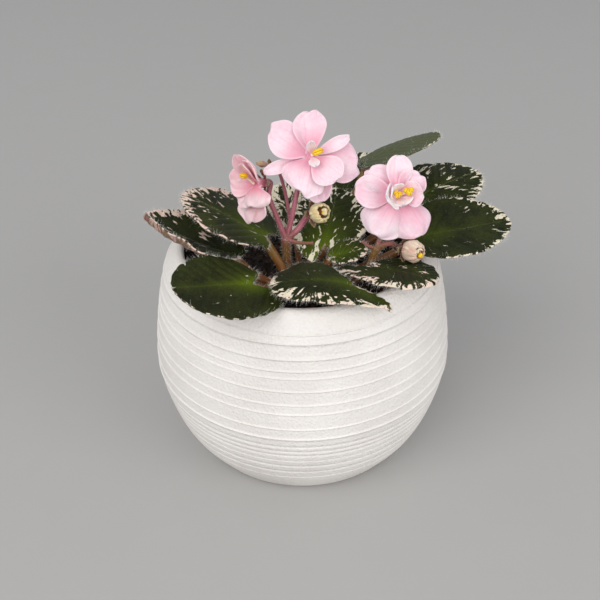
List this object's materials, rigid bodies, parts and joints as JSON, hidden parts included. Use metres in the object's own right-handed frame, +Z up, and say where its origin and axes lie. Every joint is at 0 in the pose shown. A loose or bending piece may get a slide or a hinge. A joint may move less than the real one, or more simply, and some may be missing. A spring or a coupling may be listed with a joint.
{
  "type": "potted african violet",
  "caption": "Miniature African violet with variegated leaves, pink double flowers and buds, planted in a round white pot with thin raised rings.",
  "frame": {"origin": "centre of the pot's flat underside", "axes": "+Z up out of the pot's mouth, -Y towards the front of the plant as the picture shows it, +X to the right of that view"},
  "size_m": [0.1119, 0.0978, 0.1163],
  "materials": {
    "pot": "satin",
    "soil": "rough",
    "crown": "rough",
    "leaf": "velvety",
    "young_leaf": "velvety",
    "stalk": "hairy",
    "petal": "satin",
    "petal_deep": "satin",
    "anther": "powdery",
    "bud": "satin"
  },
  "bodies": {
    "root": {"pot": "pot", "soil": "soil", "crown": "crown", "leaf_front_left": "leaf", "leaf_front": "leaf", "leaf_front_right": "leaf", "leaf_right": "leaf", "leaf_right_back": "leaf", "leaf_back_high": "leaf", "leaf_back": "leaf", "leaf_centre": "leaf", "leaf_left_back": "leaf", "leaf_left": "leaf", "young_leaf_back": "young_leaf", "young_leaf_front": "young_leaf", "flower_stalk_left": "stalk", "flower_stalk_right": "stalk", "top_flower_petals": "petal", "top_flower_anthers": "anther", "right_flower_petals": "petal", "right_flower_anthers": "anther", "left_flower_petals": "petal_deep", "left_flower_anthers": "anther", "faded_bud": "bud", "round_bud": "bud", "small_bud": "bud"}
  },
  "joints": []
}
